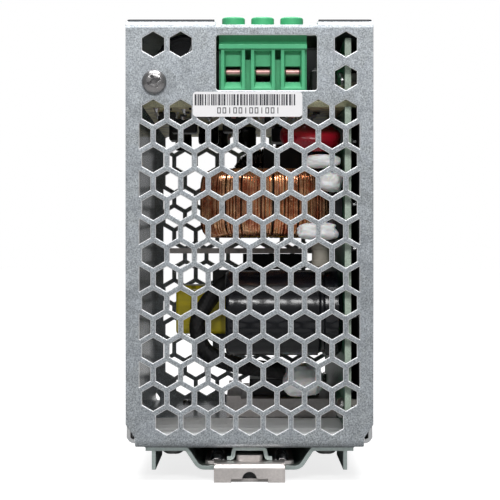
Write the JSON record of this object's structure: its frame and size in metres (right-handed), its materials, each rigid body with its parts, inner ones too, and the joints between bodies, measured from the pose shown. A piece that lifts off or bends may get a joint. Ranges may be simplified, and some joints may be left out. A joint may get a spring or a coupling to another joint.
{
  "type": "din rail power supply",
  "caption": "Metal-cased switched-mode power supply with honeycomb vented ends, rising-clamp terminal blocks and a sprung rail latch",
  "frame": {"origin": "middle of the bracket face that seats on the 35 mm rail", "axes": "+X along the rail, +Y up the mounted unit from the input end to the output end, +Z out of the panel towards the front"},
  "size_m": [0.063, 0.1296, 0.1196],
  "materials": {
    "galvanised_sheet": "bright galvanised sheet with a fine spangle",
    "overlay_film": "dark matte film",
    "label_film": "white satin label film",
    "zinc_screw": "zinc plated, bright",
    "bracket_zinc": "zinc plated, slightly cool",
    "latch_zinc": "zinc plated, slightly warm",
    "spring_wire": "bright spring wire",
    "board_green": "green solder mask, pale sawn edges",
    "board_cream": "cream composite board",
    "standoff_nickel": "nickel plated",
    "insulator_black": "matte black sheet",
    "insulator_white": "matte white sheet",
    "header_black": "moulded, matte",
    "solder": "bright tin",
    "small_parts": "moulded, matte",
    "terminal_green": "moulded polyamide, satin",
    "terminal_copper": "tinned copper, pinkish",
    "terminal_steel": "zinc plated",
    "ferrite": "dark sintered ferrite",
    "copper_wire": "enamelled copper wire, glossy",
    "choke_dark": "dark brown varnished winding",
    "case_black": "moulded, satin",
    "varistor_red": "dipped coating, satin",
    "fuse_beige": "moulded, satin",
    "can_sleeve": "shrink sleeve, glossy",
    "heatsink": "mill finish",
    "tape_yellow": "polyester tape, satin",
    "sealant": "cured silicone, satin",
    "sleeve_black": "fibre sleeve, matte",
    "trimmer_blue": "moulded, satin",
    "dial_white": "moulded, satin",
    "clear_plastic": "clear, slightly frosted"
  },
  "bodies": {
    "case": {"front_cover": "galvanised_sheet", "chassis": "galvanised_sheet", "cover_screws": "zinc_screw", "bracket_screws": "zinc_screw", "front_overlay": "overlay_film", "serial_label": "label_film", "rail_bracket": "bracket_zinc", "latch_guide": "bracket_zinc", "latch_springs": "spring_wire", "main_board": "board_green", "front_board": "board_cream", "board_standoffs": "standoff_nickel", "board_screws": "zinc_screw", "side_insulator": "insulator_black", "rear_insulator": "insulator_white", "pin_header": "header_black", "solder_joints": "solder", "board_parts": "small_parts", "input_terminal_block": "terminal_green", "input_contact_bars": "terminal_copper", "output_terminal_block": "terminal_green", "output_contact_bars": "terminal_copper", "line_choke_core": "ferrite", "line_choke_winding": "copper_wire", "choke_base": "case_black", "filter_choke": "choke_dark", "inrush_relay": "case_black", "varistor": "varistor_red", "input_fuse": "fuse_beige", "bulk_capacitor": "can_sleeve", "primary_heatsink": "heatsink", "power_transistors": "case_black", "transformer_winding": "tape_yellow", "transformer_core": "ferrite", "rear_heatsink": "heatsink", "bridge_rectifier": "case_black", "output_choke": "copper_wire", "small_capacitors": "can_sleeve", "rail_hooks": "bracket_zinc", "sleeved_lead": "sleeve_black", "sealant_beads": "sealant", "trimmer_body": "trimmer_blue", "status_led": "clear_plastic", "light_pipe": "clear_plastic"},
    "latch": {"rail_latch": "latch_zinc"},
    "trimmer_dial": {"trimmer_rotor": "dial_white"},
    "input_clamp_1": {"input_clamp_1": "terminal_steel"},
    "input_screw_1": {"input_screw_1": "terminal_steel"},
    "input_clamp_2": {"input_clamp_2": "terminal_steel"},
    "input_screw_2": {"input_screw_2": "terminal_steel"},
    "input_clamp_3": {"input_clamp_3": "terminal_steel"},
    "input_screw_3": {"input_screw_3": "terminal_steel"},
    "output_clamp_1": {"output_clamp_1": "terminal_steel"},
    "output_screw_1": {"output_screw_1": "terminal_steel"},
    "output_clamp_2": {"output_clamp_2": "terminal_steel"},
    "output_screw_2": {"output_screw_2": "terminal_steel"},
    "output_clamp_3": {"output_clamp_3": "terminal_steel"},
    "output_screw_3": {"output_screw_3": "terminal_steel"},
    "output_clamp_4": {"output_clamp_4": "terminal_steel"},
    "output_screw_4": {"output_screw_4": "terminal_steel"}
  },
  "joints": [
    {"name": "latch_slide", "type": "slide", "parent": "case", "child": "latch", "axis": [0, -1, 0], "range_m": [0, 0.007], "stiffness_N_per_m": 600, "springref_m": -0.003, "deforming": ["latch_springs"]},
    {"name": "trimmer_turn", "type": "hinge", "parent": "case", "child": "trimmer_dial", "pos_m": [0.02, 0.024, 0.11], "axis": [0, 0, 1], "range_deg": [-135, 135]},
    {"name": "input_screw_1_turn", "type": "hinge", "parent": "case", "child": "input_screw_1", "pos_m": [-0.00419, -0.0486, 0.1138], "axis": [0, 0, -1], "range_deg": [0, 1872]},
    {"name": "input_clamp_1_lift", "type": "slide", "parent": "case", "child": "input_clamp_1", "axis": [0, 0, 1], "range_m": [0, 0.0026]},
    {"name": "input_screw_2_turn", "type": "hinge", "parent": "case", "child": "input_screw_2", "pos_m": [0.00343, -0.0486, 0.1138], "axis": [0, 0, -1], "range_deg": [0, 1872]},
    {"name": "input_clamp_2_lift", "type": "slide", "parent": "case", "child": "input_clamp_2", "axis": [0, 0, 1], "range_m": [0, 0.0026]},
    {"name": "input_screw_3_turn", "type": "hinge", "parent": "case", "child": "input_screw_3", "pos_m": [0.01105, -0.0486, 0.1138], "axis": [0, 0, -1], "range_deg": [0, 1872]},
    {"name": "input_clamp_3_lift", "type": "slide", "parent": "case", "child": "input_clamp_3", "axis": [0, 0, 1], "range_m": [0, 0.0026]},
    {"name": "output_screw_1_turn", "type": "hinge", "parent": "case", "child": "output_screw_1", "pos_m": [-0.01443, 0.0486, 0.1138], "axis": [0, 0, -1], "range_deg": [0, 1872]},
    {"name": "output_clamp_1_lift", "type": "slide", "parent": "case", "child": "output_clamp_1", "axis": [0, 0, 1], "range_m": [0, 0.0026]},
    {"name": "output_screw_2_turn", "type": "hinge", "parent": "case", "child": "output_screw_2", "pos_m": [-0.00681, 0.0486, 0.1138], "axis": [0, 0, -1], "range_deg": [0, 1872]},
    {"name": "output_clamp_2_lift", "type": "slide", "parent": "case", "child": "output_clamp_2", "axis": [0, 0, 1], "range_m": [0, 0.0026]},
    {"name": "output_screw_3_turn", "type": "hinge", "parent": "case", "child": "output_screw_3", "pos_m": [0.00081, 0.0486, 0.1138], "axis": [0, 0, -1], "range_deg": [0, 1872]},
    {"name": "output_clamp_3_lift", "type": "slide", "parent": "case", "child": "output_clamp_3", "axis": [0, 0, 1], "range_m": [0, 0.0026]},
    {"name": "output_screw_4_turn", "type": "hinge", "parent": "case", "child": "output_screw_4", "pos_m": [0.00843, 0.0486, 0.1138], "axis": [0, 0, -1], "range_deg": [0, 1872]},
    {"name": "output_clamp_4_lift", "type": "slide", "parent": "case", "child": "output_clamp_4", "axis": [0, 0, 1], "range_m": [0, 0.0026]}
  ],
  "couplings": [
    {"joint": "input_screw_1_turn", "follows": "input_clamp_1_lift", "rad_per_m": 12566},
    {"joint": "input_screw_2_turn", "follows": "input_clamp_2_lift", "rad_per_m": 12566},
    {"joint": "input_screw_3_turn", "follows": "input_clamp_3_lift", "rad_per_m": 12566},
    {"joint": "output_screw_1_turn", "follows": "output_clamp_1_lift", "rad_per_m": 12566},
    {"joint": "output_screw_2_turn", "follows": "output_clamp_2_lift", "rad_per_m": 12566},
    {"joint": "output_screw_3_turn", "follows": "output_clamp_3_lift", "rad_per_m": 12566},
    {"joint": "output_screw_4_turn", "follows": "output_clamp_4_lift", "rad_per_m": 12566}
  ]
}
